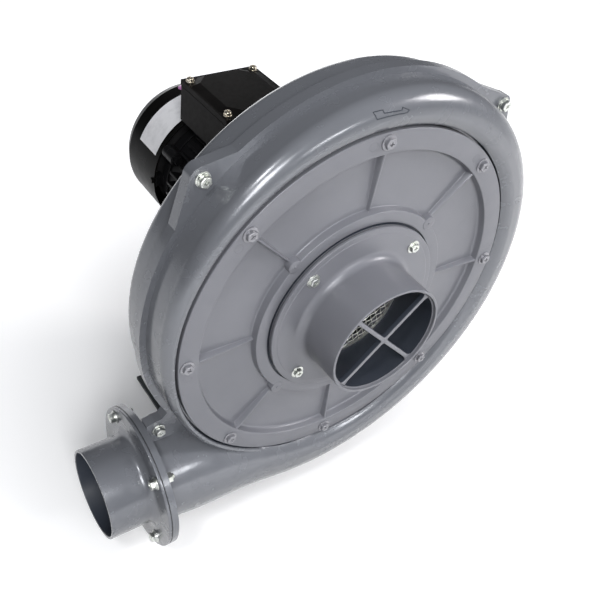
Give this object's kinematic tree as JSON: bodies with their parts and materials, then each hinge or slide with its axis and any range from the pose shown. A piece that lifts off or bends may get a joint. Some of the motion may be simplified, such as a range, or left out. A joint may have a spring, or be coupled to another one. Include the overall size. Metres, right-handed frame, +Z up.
{
  "type": "centrifugal blower",
  "caption": "Centrifugal turbo blower: spiral cast casing with a guarded axial inlet, a round outlet spigot, a finned motor with terminal box and a folded steel stand.",
  "frame": {"origin": "on the floor, at the centre of the four bolt holes in the stand", "axes": "+Z up, +Y along the shaft from the inlet to the motor, +X to the right seen from the inlet; the outlet points to -X"},
  "size_m": [0.5199, 0.4255, 0.5177],
  "materials": {
    "grey_casting": "grey semi-gloss paint on cast aluminium",
    "cover_grey": "lighter grey semi-gloss paint on cast aluminium",
    "grey_screw": "painted over",
    "zinc_screw": "bright zinc plating",
    "gasket_black": "matte",
    "mesh_wire": "galvanised wire",
    "bare_aluminium": "mill finish",
    "motor_black": "black semi-gloss paint on die-cast aluminium",
    "cowl_black": "black semi-gloss paint on pressed steel",
    "box_black": "black moulded, satin",
    "machined_steel": "machined",
    "lamination_steel": "stacked electrical steel",
    "winding_copper": "enamelled copper",
    "fan_plastic": "black moulded",
    "terminal_board": "brown moulded",
    "brass": "bright",
    "stand_paint": "dark grey paint on folded steel"
  },
  "bodies": {
    "housing": {"front_shell": "grey_casting", "back_shell": "grey_casting", "cover_plate": "cover_grey", "cover_gasket": "gasket_black", "cover_screws": "grey_screw", "inlet_pipe": "cover_grey", "inlet_mesh": "mesh_wire", "inlet_screws": "zinc_screw", "outlet_pipe": "grey_casting", "outlet_gasket": "gasket_black", "outlet_bolts": "zinc_screw", "outlet_nuts": "zinc_screw", "shell_bolts": "zinc_screw", "shell_nuts": "zinc_screw", "shaft_seal": "gasket_black", "front_bearing_outer": "machined_steel", "rear_bearing_outer": "machined_steel", "preload_washer": "machined_steel", "stator_core": "lamination_steel", "stator_windings": "winding_copper", "front_endshield": "motor_black", "motor_frame": "motor_black", "rear_endshield": "motor_black", "tie_bolts": "motor_black", "flange_bolts": "zinc_screw", "fan_cowl": "cowl_black", "cowl_screws": "cowl_black", "terminal_box": "box_black", "terminal_gasket": "gasket_black", "terminal_lid": "box_black", "lid_screws": "zinc_screw", "terminal_block": "terminal_board", "terminal_studs": "brass", "cable_gland": "box_black", "motor_stand": "stand_paint", "foot_bolts": "zinc_screw", "foot_nuts": "zinc_screw"},
    "rotor": {"impeller_backplate": "bare_aluminium", "impeller_shroud": "bare_aluminium", "impeller_blades": "bare_aluminium", "impeller_hub": "machined_steel", "hub_rivets": "bare_aluminium", "impeller_washer": "zinc_screw", "impeller_bolt": "zinc_screw", "impeller_key": "machined_steel", "motor_shaft": "machined_steel", "rotor_core": "lamination_steel", "cooling_fan": "fan_plastic", "front_bearing_inner": "machined_steel", "rear_bearing_inner": "machined_steel"}
  },
  "joints": [
    {"name": "rotor_spin", "type": "hinge", "parent": "housing", "child": "rotor", "pos_m": [0, -0.0565, 0.285], "axis": [0, 1, 0], "continuous": true}
  ]
}
